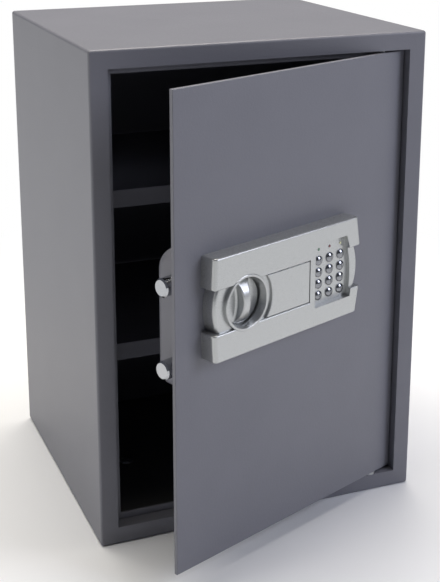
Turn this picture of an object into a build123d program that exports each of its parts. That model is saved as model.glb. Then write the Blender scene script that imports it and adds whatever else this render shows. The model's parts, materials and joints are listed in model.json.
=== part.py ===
"""Electronic furniture safe: a steel cabinet with a hinged door, a keypad lock and two shelves.

Millimetres, +Z up. The origin is the centre of the cabinet's underside, the door is on the -Y side
and its hinge pins are on the right, towards +X. The door stands ajar, and the bolts are drawn in.

Everything on the door is drawn on a plane that turns with it. There, the first coordinate runs from
the hinge pins to the free edge, the second is the height, and the depth runs inwards from the
door's outer face, so a piece in front of the door has a negative depth.
"""
import os
from math import cos, radians, sin, sqrt

from build123d import *

# Cabinet
width = 350
depth = 310
height = 500
sheet = 2
bend_radius = 3
front_round = 2.5
frame_width = 18
return_depth = 15
lip_width = 7
back_inset = 2
mat_thickness = 2
mat_margin = 1

# Anchor holes
anchor_radius = 5
anchor_spacing = 200
back_anchor_height = 400
mat_hole_radius = 8

# Door
door_thickness = 4
door_round = 0.8
rest_angle = 21.5
gap_free = 2.5
gap_hinge = 2
gap_top = 2
gap_bottom = 2.5

# Hinge
pin_inset = 27.5
pin_depth = 8
pin_radius = 3
pin_length = 24
pin_proud = 3
pin_fit = 0.08
lug_thickness = 4
lug_radius = 8
leg_width = 20
leg_length = 46
leg_thickness = 3
swing_room = 11.5
hinge_plate_size = (50, 11.5)
hinge_plate_thickness = 3
washer_radius = 8
washer_play = 0.1

# Shelves
shelf_sheet = 1.5
shelf_fold_radius = 0.5
shelf_heights = {"upper": 350, "lower": 188}
shelf_setback = 62
shelf_back_gap = 4
shelf_side_gap = 1
shelf_flange = 18
shelf_hem = 8
rail_leg = 12
rail_seat = 15
rail_setback = 3

# Fascia, placed from the door's free edge
lock_height = 277
fascia_far = 230
fascia_near = 30.5
fascia_slant_far = 5
fascia_slant_near = 1.5
fascia_top = 327
fascia_bottom = 228
bar_height = 18
bar_round = 1.6
end_round = 4.5
band_height = 15
band_round = 3
band_top = 297
band_bottom = 255
band_notch = 7
band_bulge = 4.5
fascia_wall = 2.5
fascia_cavity = 12
post_radius = 4
post_offsets = {"far": 208, "near": 52}
post_space = {"above": 2, "below": 6.7}
fascia_screw_radius = 1.5
fascia_screw_length = 12
fascia_screw_head = (3.05, 1.5)
screw_end_gap = 1
screw_play = 0.05

# Knob
knob_setback = 72
knob_radius = 22.5
knob_front = 18.4
knob_rim = 8.6
knob_back = 4.3
knob_round = 1
knob_gap = 1.5
ring_wall = 3
ring_height = 18.6
ring_round = 0.9
well_floor = 4
grip_width = 9
grip_crest_radius = 27
grip_crest_round = 2
grip_flank_radius = 60
grip_foot_round = 3
spindle_radius = 5
spindle_front = 7.6
spindle_tip_radius = 3
spindle_tip_front = 14
spindle_fit = 0.05
knob_turn = 70

# Keypad
key_radius = 4.8
key_fit = 0.1
key_space_across = 4.6
key_space_down = 0.9
key_centre_setback = 189.8
key_centre_height = 273.8
key_travel = 1
key_flange_rim = 0.7
key_flange_thickness = 1
key_rise = 1
key_dome = 1.9
field_height = 11.5
field_margin_far = 3.1
field_margin_near = 5.7
field_margin_top = 8.2
field_margin_bottom = 3.4
field_corner = 4
field_lean = 6
field_bulge = 2
face_thickness = 2
lamp_radius = 1.5
lamp_space = 5.7
lamp_rise = 0.5
pocket_margin = 0.5
lamp_margin = 2
board_thickness = 1.6
board_margin = 2
pad_margin = 1
pad_thickness = 1.2
pad_gap = 0.2

# Override cover and key lock
cover_far = 156
cover_arc_distance = 6
cover_thickness = 2.4
cover_gap = 0.3
cover_chamfer = 0.5
peg_radius = 1.5
peg_inset = 4.5
peg_length = 2.4
peg_fit = 0.05
cylinder_setback = 128
cylinder_radius = 9.5
cylinder_back = 22
cylinder_play = 0.1
plug_radius = 5
plug_fit = 0.05
keyway = (1.4, 7)
keyway_depth = 6
nut_radius = 13.5
nut_thickness = 4
nut_gap = 1
key_cam_length = 20
key_cam_width = 9
key_cam_thickness = 2.5
key_cam_hub_radius = 8.5

# Bolts and carriage
bolt_radius = 9
bolt_fit = 0.08
bolt_heights = {"upper": 295, "lower": 215}
bolt_depth = 27.5
bolt_shortfall = 7.5
bolt_length = 37.5
bolt_chamfer = 1.5
bolt_screw_radius = 2.5
bolt_screw_length = 14
bolt_screw_head = (5, 4.5)
crank_radius = 12
crank_pin_radius = 3
crank_pin_proud = 1
crank_clearance = 0.3
web_front = 19
web_thickness = 2
web_bottom = 252
web_top = 304
flange_thickness = 3
flange_depth = 19
flange_overlap = 7
guide_plate_thickness = 2
guide_radius = 2.5
guide_clearance = 0.15
guide_shoulder_radius = 4
guide_head = (4.5, 1.7)
guide_places = {"near_low": (56, 264), "near_high": (62, 298), "far_low": (98, 264)}
bush_flange = (10, 1.5)
bush_radius = 7
cam_front = 9
cam_thickness = 4
cam_width = 12
cam_boss_radius = 8

# Solenoid
solenoid_setback = 106
solenoid_width = 20
solenoid_bottom = 206
solenoid_top = 234
solenoid_depth = 25
coil_radius = 8
coil_margin = 2
plunger_radius = 3
plunger_fit = 0.08
plunger_gap = 0.5
plunger_travel = 5
collar_radius = 5
collar_bottom = 243
collar_thickness = 1.5
spring_radius = 4
spring_wire = 0.35
spring_turns = 4

# Lock case and batteries
case_far = 224
case_near = 23
case_top = 322
case_bottom = 187
case_depth = 50
case_corner = 18
case_round = 10
case_sheet = 1.5
ear_places = (184, 62)
ear_size = (16, 12)
case_screw_radius = 2
case_screw_head = (4, 2.5)
case_screw_bite = 2.5
battery_setback = 182
battery_height = 264
battery_wall = 1.5
battery_lip = 2
battery_cover_lap = 3
battery_cover_thickness = 2
battery_plug = 2.4
battery_plug_gap = 0.3
cell_radius = 7.1
cell_length = 50
cell_gap = 0.6
cell_margin = 0.9
cell_headroom = 2.3
cell_count = 4
reset_space = 10
reset_radius = 4
reset_fit = 0.08
reset_flange = (5.5, 2)
reset_travel = 1.5
reset_proud = 2
switch_radius = 7.5
switch_depth = 8
switch_floor = 1.5
lead_radius = 2
lead_height = 262
lead_hole_radius = 4

# Worked out from the above
front_y = -depth / 2
mouth_half = width / 2 - frame_width
mouth_bottom = frame_width
mouth_top = height - frame_width
mouth_height = mouth_top - mouth_bottom
hinge_x = mouth_half - pin_inset
hinge_y = front_y + pin_depth
door_bottom = mouth_bottom + gap_bottom
door_top = mouth_top - gap_top
free_edge = hinge_x + mouth_half - gap_free
tail_edge = gap_hinge - pin_inset
knob_place = (free_edge - knob_setback, lock_height)
cylinder_place = (free_edge - cylinder_setback, lock_height)
swing = radians(rest_angle)
half_turn = radians(knob_turn / 2)
bolt_throw = 2 * crank_radius * sin(half_turn)
case_back = door_thickness + case_depth
case_inner_back = case_back - case_sheet
well_radius = knob_radius + knob_gap
ring_radius = well_radius + ring_wall
cover_arc_radius = ring_radius + cover_arc_distance
key_flange_radius = key_radius + key_flange_rim
key_pitch_across = 2 * key_flange_radius + key_space_across
key_pitch_down = 2 * key_flange_radius + key_space_down
key_columns = [free_edge - key_centre_setback + key_pitch_across * step for step in (1, 0, -1)]
key_rows = [key_centre_height + key_pitch_down * step for step in (1.5, 0.5, -0.5, -1.5)]
lamp_height = key_rows[0] + key_flange_radius + lamp_space
pocket_width = 2 * (key_pitch_across + key_flange_radius + pocket_margin)
pocket_bottom = key_rows[-1] - key_flange_radius - pocket_margin
pocket_top = lamp_height + lamp_radius + lamp_margin
post_heights = (
    pocket_bottom - board_margin - post_radius - post_space["below"],
    pocket_top + board_margin + post_radius + post_space["above"],
)
cell_pitch = 2 * cell_radius + cell_gap
battery_box_size = cell_count * cell_pitch + 2 * (battery_wall + cell_margin)
battery_box_depth = battery_wall + 2 * cell_radius + cell_headroom
window_size = battery_box_size - 2 * battery_lip
battery_cover_size = window_size + 2 * battery_cover_lap
reset_height = battery_height - battery_box_size / 2 - reset_space

toward_free = Vector(-cos(swing), -sin(swing), 0)
inward = Vector(-sin(swing), cos(swing), 0)
face_tolerance = 0.01
door_origin = Vector(hinge_x, hinge_y, 0) - inward * pin_depth
door_face = Plane(origin=door_origin, x_dir=toward_free, z_dir=inward)


def upright(y):
    """Plane across the cabinet at y, facing the front, with x and z as its coordinates."""
    return Plane.XZ.offset(-y)


def at_depth(distance):
    """Plane parallel to the door, that far behind its outer face."""
    return door_face.offset(distance)


def door_point(along, high, deep):
    """Point of the cabinet's frame at the given door coordinates."""
    return door_face.from_local_coords((along, high, deep))


def across_door(along, high, deep):
    """Plane square to the door's width at a point, facing the free edge."""
    return Plane(origin=door_point(along, high, deep), x_dir=inward, z_dir=toward_free)


def faces_at(piece, distance):
    """A piece's flat faces at one depth of the door."""
    return piece.faces().filter_by(
        lambda face: abs((face.center() - door_origin).dot(inward) - distance) < face_tolerance
    )


def upright_edges(faces):
    """The edges of flat faces that run more up than across."""
    return faces.edges().filter_by(lambda edge: abs(edge.tangent_at(0.5).Z) > 0.5)


def level_edges(faces):
    """The edges of flat faces that run more across than up."""
    return faces.edges().filter_by(lambda edge: abs(edge.tangent_at(0.5).Z) <= 0.5)


def level_on_door(high):
    """Level plane facing down, with the door's width and depth as its coordinates."""
    return Plane(origin=door_point(0, high, 0), x_dir=toward_free, z_dir=(0, 0, -1))


# Cabinet: one folded wrap whose front turns in as a frame, a return and a lip
with BuildPart() as body_shell:
    with BuildSketch(upright(front_y)):
        with Locations((0, height / 2)):
            RectangleRounded(width, height, bend_radius)
    extrude(amount=-depth)
    fillet(body_shell.faces().sort_by(Axis.Y)[0].edges(), front_round)
    with BuildSketch(upright(front_y + sheet)):
        with Locations((0, height / 2)):
            RectangleRounded(width - 2 * sheet, height - 2 * sheet, bend_radius - sheet)
    extrude(amount=-depth, mode=Mode.SUBTRACT)
    with BuildSketch(upright(front_y + sheet / 2)):
        with Locations((0, height / 2)):
            Rectangle(2 * mouth_half + 2 * sheet, mouth_height + 2 * sheet)
    extrude(amount=sheet / 2 - return_depth)
    with BuildSketch(upright(front_y)):
        with Locations((0, height / 2)):
            Rectangle(2 * mouth_half, mouth_height)
    extrude(amount=-return_depth, mode=Mode.SUBTRACT)
    with BuildSketch(upright(front_y + return_depth)):
        with Locations((0, height / 2)):
            Rectangle(2 * mouth_half + 2 * sheet, mouth_height + 2 * sheet)
            Rectangle(2 * (mouth_half - lip_width), mouth_height - 2 * lip_width, mode=Mode.SUBTRACT)
        with Locations((hinge_x - swing_room, height / 2)):
            Rectangle(width, height, align=(Align.MIN, Align.CENTER), mode=Mode.SUBTRACT)
    extrude(amount=-sheet)
    with BuildSketch(Plane.XY):
        with GridLocations(anchor_spacing, 0, 2, 1):
            Circle(anchor_radius)
    extrude(amount=sheet, mode=Mode.SUBTRACT)
    with BuildSketch(Plane.XY.offset(mouth_bottom - sheet)):
        with Locations((hinge_x, hinge_y)):
            Circle(pin_radius + pin_fit)
    extrude(amount=sheet, mode=Mode.SUBTRACT)
    with BuildSketch(Plane.XY.offset(mouth_top)):
        with Locations((hinge_x, hinge_y)):
            Circle(pin_radius + pin_fit)
    extrude(amount=sheet, mode=Mode.SUBTRACT)

with BuildPart() as back_panel:
    with BuildSketch(upright(depth / 2 - back_inset)):
        with Locations((0, height / 2)):
            RectangleRounded(width - 2 * sheet, height - 2 * sheet, bend_radius - sheet)
        with Locations((0, back_anchor_height)):
            with GridLocations(anchor_spacing, 0, 2, 1):
                Circle(anchor_radius, mode=Mode.SUBTRACT)
    extrude(amount=sheet)

mat_front = front_y + return_depth + sheet + mat_margin
mat_back = depth / 2 - back_inset - sheet - mat_margin
with BuildPart() as floor_mat:
    with BuildSketch(Plane.XY.offset(sheet)):
        with Locations((0, (mat_front + mat_back) / 2)):
            Rectangle(width - 2 * sheet - 2 * mat_margin, mat_back - mat_front)
        with GridLocations(anchor_spacing, 0, 2, 1):
            Circle(mat_hole_radius, mode=Mode.SUBTRACT)
    extrude(amount=mat_thickness)

with BuildPart() as hinge_plates:
    for level in (mouth_top + sheet, mouth_bottom - sheet - hinge_plate_thickness):
        with BuildSketch(Plane.XY.offset(level)):
            with Locations((hinge_x, hinge_y)):
                Rectangle(*hinge_plate_size)
                Circle(pin_radius + pin_fit, mode=Mode.SUBTRACT)
        extrude(amount=hinge_plate_thickness)

with BuildPart() as hinge_washer:
    with BuildSketch(Plane.XY.offset(mouth_bottom)):
        with Locations((hinge_x, hinge_y)):
            Circle(washer_radius)
            Circle(pin_radius + pin_fit, mode=Mode.SUBTRACT)
    extrude(amount=gap_bottom - washer_play)

# Shelves lie loose on angle rails that are welded to the cabinet's sides
shelf_front = front_y + shelf_setback
shelf_back = depth / 2 - back_inset - sheet - shelf_back_gap
shelf_half = width / 2 - sheet - shelf_side_gap
rail_front = shelf_front + shelf_sheet + shelf_hem + rail_setback
shelves = {}
rails = {}
for place, top in shelf_heights.items():
    with BuildPart() as shelf:
        with BuildSketch(Plane.YZ):
            with BuildLine():
                FilletPolyline(
                    (shelf_back, top),
                    (shelf_front, top),
                    (shelf_front, top - shelf_flange),
                    (shelf_front + shelf_hem, top - shelf_flange),
                    (shelf_front + shelf_hem, top - shelf_flange + shelf_sheet),
                    (shelf_front + shelf_sheet, top - shelf_flange + shelf_sheet),
                    (shelf_front + shelf_sheet, top - shelf_sheet),
                    (shelf_back, top - shelf_sheet),
                    close=True,
                    radius=shelf_fold_radius,
                )
            make_face()
        extrude(amount=shelf_half, both=True)
    shelves[place] = shelf
    with BuildPart() as rail_pair:
        wall_x = width / 2 - sheet
        seat = top - shelf_sheet
        for side in (-1, 1):
            with BuildSketch(upright(rail_front)):
                with BuildLine():
                    Polyline(
                        (side * wall_x, seat),
                        (side * (wall_x - rail_seat), seat),
                        (side * (wall_x - rail_seat), seat - shelf_sheet),
                        (side * (wall_x - shelf_sheet), seat - shelf_sheet),
                        (side * (wall_x - shelf_sheet), seat - rail_leg),
                        (side * wall_x, seat - rail_leg),
                        close=True,
                    )
                make_face()
            extrude(amount=rail_front - shelf_back)
    rails[place] = rail_pair

# Door: a flat plate on two lugs with pressed-in pins
with BuildPart() as door_plate:
    with BuildSketch(door_face):
        with Locations(((free_edge + tail_edge) / 2, (door_top + door_bottom) / 2)):
            Rectangle(free_edge - tail_edge, door_top - door_bottom)
    extrude(amount=door_thickness)
    fillet(door_plate.faces().sort_by(Axis(door_origin, inward))[0].edges(), door_round)
    with BuildSketch(door_face):
        with Locations(knob_place):
            Circle(bush_radius + screw_play)
        with Locations(cylinder_place):
            Circle(cylinder_radius + cylinder_play)
        with Locations((free_edge - key_centre_setback, lead_height)):
            Circle(lead_hole_radius)
        for post_offset in post_offsets.values():
            for post_height in post_heights:
                with Locations((free_edge - post_offset, post_height)):
                    Circle(fascia_screw_radius + screw_play)
    extrude(amount=door_thickness, mode=Mode.SUBTRACT)
    with BuildSketch(at_depth(door_thickness - case_screw_bite)):
        for ear_place in ear_places:
            for ear_z in (case_top + ear_size[1] / 2, case_bottom - ear_size[1] / 2):
                with Locations((free_edge - ear_place, ear_z)):
                    Circle(case_screw_radius + screw_play)
    extrude(amount=case_screw_bite, mode=Mode.SUBTRACT)

with BuildPart() as hinge_lugs:
    for end, down in ((door_top, 1), (door_bottom, -1)):
        with BuildSketch(level_on_door(end)):
            with Locations((0, pin_depth)):
                Circle(lug_radius)
            with Locations((0, door_thickness)):
                Rectangle(2 * lug_radius, pin_depth - door_thickness, align=(Align.CENTER, Align.MIN))
                Rectangle(4 * lug_radius, lug_radius, align=(Align.CENTER, Align.MAX), mode=Mode.SUBTRACT)
        extrude(amount=down * lug_thickness)
        with BuildSketch(level_on_door(end)):
            with Locations((0, door_thickness)):
                Rectangle(leg_width, leg_thickness, align=(Align.CENTER, Align.MIN))
        extrude(amount=down * leg_length)
        with BuildSketch(level_on_door(end)):
            with Locations((0, pin_depth)):
                Circle(pin_radius)
        extrude(amount=down * leg_length, mode=Mode.SUBTRACT)

with BuildPart() as hinge_pins:
    for end, outer in ((mouth_top, 1), (mouth_bottom, -1)):
        reach = end + outer * (sheet + hinge_plate_thickness + pin_proud)
        with BuildSketch(Plane.XY.offset(reach)):
            with Locations((hinge_x, hinge_y)):
                Circle(pin_radius)
        extrude(amount=-outer * pin_length)

# Fascia: two bars with a lower band between them, a ring round the knob and a sunken key field
far_end = free_edge - fascia_far
near_end = free_edge - fascia_near
band_middle = (band_top + band_bottom) / 2
bar_edges = [(band_top, fascia_top), (band_bottom, fascia_bottom)]
notch_far = far_end + band_notch
notch_near = near_end - band_notch


def bar_outline(band_edge, outer_edge):
    """Face of one bar: a strip whose two ends lean inwards away from the band."""
    with BuildSketch() as outline:
        with BuildLine():
            Polyline(
                (far_end, band_edge),
                (far_end + fascia_slant_far, outer_edge),
                (near_end - fascia_slant_near, outer_edge),
                (near_end, band_edge),
                close=True,
            )
        make_face()
    return outline.sketch


def band_outline():
    """Face of the band: straight along the bars, with bulging arcs as its ends."""
    with BuildSketch() as outline:
        with BuildLine():
            Line((notch_far, band_top), (notch_near, band_top))
            ThreePointArc(
                (notch_near, band_top), (notch_near + band_bulge, band_middle), (notch_near, band_bottom)
            )
            Line((notch_near, band_bottom), (notch_far, band_bottom))
            ThreePointArc(
                (notch_far, band_bottom), (notch_far - band_bulge, band_middle), (notch_far, band_top)
            )
        make_face()
    return outline.sketch


field_left = key_columns[0] + key_flange_radius + field_margin_near
field_right = key_columns[-1] - key_flange_radius - field_margin_far
field_top = lamp_height + field_margin_top
field_bottom = key_rows[-1] - key_flange_radius - field_margin_bottom
cover_right = free_edge - cover_far
pocket_depth = field_height - face_thickness
board_front = pocket_depth - key_flange_thickness - key_travel - pad_gap - pad_thickness
cover_back = band_height + screw_play
cylinder_front = band_height - 2 * cylinder_play

peg_rise = (band_top - band_bottom) / 2 - peg_inset
peg_places = [(cylinder_place[0], band_middle + side * peg_rise) for side in (-1, 1)]


def cover_outline():
    """Face of the cover: straight to the right, hollow towards the ring to the left."""
    arc = cover_arc_radius
    top_edge = band_top - cover_gap
    bottom_edge = band_bottom + cover_gap
    right = cover_right + cover_gap
    knob_along = knob_place[0]
    top_corner = (knob_along - sqrt(arc**2 - (top_edge - lock_height) ** 2), top_edge)
    bottom_corner = (knob_along - sqrt(arc**2 - (lock_height - bottom_edge) ** 2), bottom_edge)
    with BuildSketch() as outline:
        with BuildLine():
            Polyline(bottom_corner, (right, bottom_edge), (right, top_edge), top_corner)
            ThreePointArc(top_corner, (knob_along - arc, lock_height), bottom_corner)
        make_face()
    return outline.sketch


def field_outline():
    """Key field: its top left corner is cut off and its right side bows outwards."""
    lean_end = (field_right + field_lean, field_top)
    with BuildSketch() as outline:
        with BuildLine():
            Polyline(
                (field_right, field_bottom),
                (field_left, field_bottom),
                (field_left, field_top - field_corner),
                (field_left - field_corner, field_top),
                lean_end,
            )
            ThreePointArc(lean_end, (field_right - field_bulge, lock_height), (field_right, field_bottom))
        make_face()
    return outline.sketch


bar_faces = [bar_outline(*edges) for edges in bar_edges]
band_face = band_outline()
field_face = field_outline()
cover_face = cover_outline()
pocket_middle = ((key_columns[0] + key_columns[-1]) / 2, (pocket_top + pocket_bottom) / 2)
pocket_height = pocket_top - pocket_bottom

with BuildPart() as knob_ring:
    with BuildSketch(at_depth(-ring_height)):
        with Locations(knob_place):
            Circle(ring_radius)
    extrude(amount=ring_height)
    with BuildSketch(at_depth(-ring_height)):
        with Locations(knob_place):
            Circle(well_radius)
    extrude(amount=ring_height - well_floor, mode=Mode.SUBTRACT)
    fillet(faces_at(knob_ring, -ring_height).edges(), ring_round)

with BuildPart() as fascia:
    with BuildSketch(at_depth(-bar_height)):
        add(bar_faces)
    extrude(amount=bar_height)
    fillet(upright_edges(faces_at(fascia, -bar_height)), end_round)
    fillet(level_edges(faces_at(fascia, -bar_height)), bar_round)
    with BuildSketch(at_depth(-band_height)):
        add(band_face)
    extrude(amount=band_height)
    fillet(upright_edges(faces_at(fascia, -band_height)), band_round)
    with BuildSketch(at_depth(-bar_height)):
        with Locations(((field_left + cover_right) / 2, band_middle)):
            Rectangle(cover_right - field_left, band_top - band_bottom + 2 * bar_round)
    extrude(amount=bar_height)
    with BuildSketch(at_depth(-ring_height)):
        with Locations(knob_place):
            Circle(ring_radius - ring_round)
    extrude(amount=ring_height, mode=Mode.SUBTRACT)
    add(knob_ring)
    with BuildSketch(door_face):
        with Locations((notch_far + fascia_wall, fascia_bottom + fascia_wall)):
            Rectangle(
                notch_near - notch_far - 2 * fascia_wall,
                fascia_top - fascia_bottom - 2 * fascia_wall,
                align=(Align.MIN, Align.MIN),
            )
        with Locations(knob_place):
            Circle(ring_radius, mode=Mode.SUBTRACT)
        for post_offset in post_offsets.values():
            for post_height in post_heights:
                with Locations((free_edge - post_offset, post_height)):
                    Circle(post_radius, mode=Mode.SUBTRACT)
    extrude(amount=-fascia_cavity, mode=Mode.SUBTRACT)
    with BuildSketch(at_depth(-pocket_depth)):
        add(field_face)
        offset(amount=fascia_wall)
    extrude(amount=pocket_depth - fascia_cavity)
    with BuildSketch(at_depth(-board_front)):
        with Locations(pocket_middle):
            Rectangle(pocket_width + 2 * board_margin, pocket_height + 2 * board_margin)
    extrude(amount=board_front - pocket_depth)
    with BuildSketch(at_depth(-bar_height)):
        add(field_face)
    extrude(amount=bar_height - field_height, mode=Mode.SUBTRACT)
    with BuildSketch(at_depth(-board_front)):
        with Locations(pocket_middle):
            Rectangle(pocket_width, pocket_height)
    extrude(amount=board_front - pocket_depth, mode=Mode.SUBTRACT)
    with BuildSketch(at_depth(-field_height)):
        for column in key_columns:
            for row in key_rows:
                with Locations((column, row)):
                    Circle(key_radius + key_fit)
            with Locations((column, lamp_height)):
                Circle(lamp_radius + screw_play)
    extrude(amount=face_thickness, mode=Mode.SUBTRACT)
    with BuildSketch(at_depth(-band_height)):
        with Locations(cylinder_place):
            Circle(cylinder_radius + cylinder_play)
        with Locations(*peg_places):
            Circle(peg_radius + peg_fit)
    extrude(amount=band_height - fascia_cavity, mode=Mode.SUBTRACT)
    with BuildSketch(door_face):
        with Locations(knob_place):
            Circle(spindle_radius + cylinder_play)
    extrude(amount=-well_floor, mode=Mode.SUBTRACT)
    with BuildSketch(door_face):
        for post_offset in post_offsets.values():
            for post_height in post_heights:
                with Locations((free_edge - post_offset, post_height)):
                    Circle(fascia_screw_radius + screw_play)
    extrude(amount=-fascia_screw_length + door_thickness, mode=Mode.SUBTRACT)

with BuildPart() as override_cover:
    with BuildSketch(at_depth(-cover_back)):
        add(cover_face)
    extrude(amount=-cover_thickness)
    chamfer(faces_at(override_cover, -cover_back - cover_thickness).edges(), cover_chamfer)
    with BuildSketch(at_depth(-cover_back)):
        with Locations(*peg_places):
            Circle(peg_radius)
    extrude(amount=peg_length)

with BuildPart() as fascia_screws:
    for post_offset in post_offsets.values():
        for post_height in post_heights:
            with BuildSketch(at_depth(door_thickness)):
                with Locations((free_edge - post_offset, post_height)):
                    Circle(fascia_screw_head[0])
            extrude(amount=fascia_screw_head[1])
            with BuildSketch(at_depth(door_thickness)):
                with Locations((free_edge - post_offset, post_height)):
                    Circle(fascia_screw_radius)
            extrude(amount=screw_end_gap - fascia_screw_length)

# Knob: a disc with an upright grip across it, its spindle, and the cam that drives the bolts
grip_sides = [
    (knob_place[0] + side * (grip_width / 2 + grip_flank_radius), lock_height) for side in (-1, 1)
]
with BuildPart() as finger_room:
    with BuildSketch(at_depth(-knob_rim)):
        with Locations(*grip_sides):
            Circle(grip_flank_radius)
    extrude(amount=-knob_front)
    fillet(faces_at(finger_room, -knob_rim).edges(), grip_foot_round)

with BuildPart() as knob_grip:
    with BuildSketch(across_door(*knob_place, grip_crest_radius - knob_front)):
        Circle(grip_crest_radius)
    extrude(amount=knob_radius, both=True)
    with BuildSketch(at_depth(-(knob_back + knob_rim) / 2)):
        with Locations(knob_place):
            Circle(knob_radius - knob_round)
        with Locations(*grip_sides):
            Circle(grip_flank_radius - grip_foot_round, mode=Mode.SUBTRACT)
    extrude(amount=-knob_front, mode=Mode.INTERSECT)
    add(finger_room, mode=Mode.SUBTRACT)
    crest_edges = knob_grip.edges().sort_by(SortBy.LENGTH)[-2:]
    fillet(crest_edges, grip_crest_round)

with BuildPart() as knob:
    with BuildSketch(at_depth(-knob_back)):
        with Locations(knob_place):
            Circle(knob_radius)
    extrude(amount=knob_back - knob_rim)
    fillet(faces_at(knob, -knob_rim).edges(), knob_round)
    add(knob_grip)
    with BuildSketch(at_depth(-knob_back)):
        with Locations(knob_place):
            Circle(spindle_radius)
    extrude(amount=knob_back - spindle_front, mode=Mode.SUBTRACT)
    with BuildSketch(at_depth(-spindle_front)):
        with Locations(knob_place):
            Circle(spindle_tip_radius)
    extrude(amount=spindle_front - spindle_tip_front, mode=Mode.SUBTRACT)

with BuildPart() as spindle:
    with BuildSketch(at_depth(-spindle_front)):
        with Locations(knob_place):
            Circle(spindle_radius)
    extrude(amount=spindle_front + cam_front + cam_thickness)
    with BuildSketch(at_depth(-spindle_front)):
        with Locations(knob_place):
            Circle(spindle_tip_radius)
    extrude(amount=spindle_front - spindle_tip_front)

crank_place = (knob_place[0] - crank_radius * sin(half_turn), knob_place[1] + crank_radius * cos(half_turn))
with BuildPart() as spindle_cam:
    with BuildSketch(at_depth(cam_front)):
        with Locations(((knob_place[0] + crank_place[0]) / 2, (knob_place[1] + crank_place[1]) / 2)):
            SlotCenterToCenter(crank_radius, cam_width, rotation=90 + knob_turn / 2)
        with Locations(knob_place):
            Circle(cam_boss_radius)
            Circle(spindle_radius, mode=Mode.SUBTRACT)
    extrude(amount=cam_thickness)
    with BuildSketch(at_depth(cam_front + cam_thickness)):
        with Locations(crank_place):
            Circle(crank_pin_radius)
    extrude(amount=web_front + web_thickness + crank_pin_proud - cam_front - cam_thickness)

with BuildPart() as spindle_bush:
    with BuildSketch(door_face):
        with Locations(knob_place):
            Circle(bush_radius)
            Circle(spindle_radius + spindle_fit, mode=Mode.SUBTRACT)
    extrude(amount=door_thickness + guide_plate_thickness)
    with BuildSketch(at_depth(door_thickness + guide_plate_thickness)):
        with Locations(knob_place):
            Circle(bush_flange[0])
            Circle(spindle_radius + spindle_fit, mode=Mode.SUBTRACT)
    extrude(amount=bush_flange[1])

# Bolts on a sliding carriage, held to a guide plate by shouldered pins
bolt_end = free_edge - bolt_shortfall
bolt_start = bolt_end - bolt_length
web_end = free_edge - solenoid_setback + plunger_radius + crank_clearance - bolt_throw
guide_points = [(free_edge - setback, level) for setback, level in guide_places.values()]
plunger_along = free_edge - solenoid_setback
web_middle = web_front + web_thickness / 2
with BuildPart() as bolt_carriage:
    with BuildSketch(at_depth(web_front)):
        with Locations((web_end, web_bottom)):
            Rectangle(bolt_start - web_end, web_top - web_bottom, align=(Align.MIN, Align.MIN))
        with Locations(*[(x - bolt_throw / 2, z) for x, z in guide_points]):
            SlotCenterToCenter(
                bolt_throw + 2 * guide_clearance, 2 * (guide_radius + guide_clearance), mode=Mode.SUBTRACT
            )
        with Locations((crank_place[0], knob_place[1] + crank_radius * (1 + cos(half_turn)) / 2)):
            SlotCenterToCenter(
                crank_radius * (1 - cos(half_turn)) + 2 * crank_clearance,
                2 * (crank_pin_radius + crank_clearance),
                rotation=90,
                mode=Mode.SUBTRACT,
            )
        with Locations((plunger_along, web_bottom)):
            Rectangle(
                2 * (plunger_radius + crank_clearance),
                2 * (plunger_travel - plunger_gap + crank_clearance),
                mode=Mode.SUBTRACT,
            )
    extrude(amount=web_thickness)
    with BuildSketch(at_depth(web_front)):
        with Locations((bolt_start, bolt_heights["lower"] - flange_overlap)):
            Rectangle(
                flange_thickness,
                bolt_heights["upper"] - bolt_heights["lower"] + 2 * flange_overlap,
                align=(Align.MAX, Align.MIN),
            )
    extrude(amount=flange_depth)
    for bolt_height in bolt_heights.values():
        with BuildSketch(across_door(bolt_start, bolt_height, bolt_depth)):
            Circle(bolt_screw_radius + screw_play)
        extrude(amount=-flange_thickness, mode=Mode.SUBTRACT)

bolts = {}
for place, bolt_height in bolt_heights.items():
    with BuildPart() as bolt:
        with BuildSketch(across_door(bolt_start, bolt_height, bolt_depth)):
            Circle(bolt_radius)
        extrude(amount=bolt_length)
        chamfer(bolt.faces().sort_by(Axis(door_origin, toward_free))[-1].edges(), bolt_chamfer)
        with BuildSketch(across_door(bolt_start, bolt_height, bolt_depth)):
            Circle(bolt_screw_radius + screw_play)
        extrude(amount=bolt_screw_length, mode=Mode.SUBTRACT)
    bolts[place] = bolt

with BuildPart() as bolt_screws:
    for bolt_height in bolt_heights.values():
        with BuildSketch(across_door(bolt_start - flange_thickness, bolt_height, bolt_depth)):
            Circle(bolt_screw_head[0])
        extrude(amount=-bolt_screw_head[1])
        with BuildSketch(across_door(bolt_start - flange_thickness, bolt_height, bolt_depth)):
            Circle(bolt_screw_radius)
        extrude(amount=bolt_screw_length)

plate_end = cylinder_place[0] + nut_radius + nut_gap
with BuildPart() as guide_plate:
    with BuildSketch(at_depth(door_thickness)):
        with Locations((plate_end, web_bottom)):
            Rectangle(bolt_start - plate_end, web_top - web_bottom, align=(Align.MIN, Align.MIN))
        with Locations(knob_place):
            Circle(bush_radius + screw_play, mode=Mode.SUBTRACT)
        with Locations(*guide_points):
            Circle(guide_radius, mode=Mode.SUBTRACT)
    extrude(amount=guide_plate_thickness)

guide_base = door_thickness + guide_plate_thickness
guide_stages = [
    (door_thickness, guide_base, guide_radius),
    (guide_base, web_front - screw_play, guide_shoulder_radius),
    (web_front - screw_play, web_front + web_thickness + screw_play, guide_radius),
    (
        web_front + web_thickness + screw_play,
        web_front + web_thickness + screw_play + guide_head[1],
        guide_head[0],
    ),
]
with BuildPart() as guide_pins:
    for stage_start, stage_end, stage_radius in guide_stages:
        with BuildSketch(at_depth(stage_start)):
            with Locations(*guide_points):
                Circle(stage_radius)
        extrude(amount=stage_end - stage_start)

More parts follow.
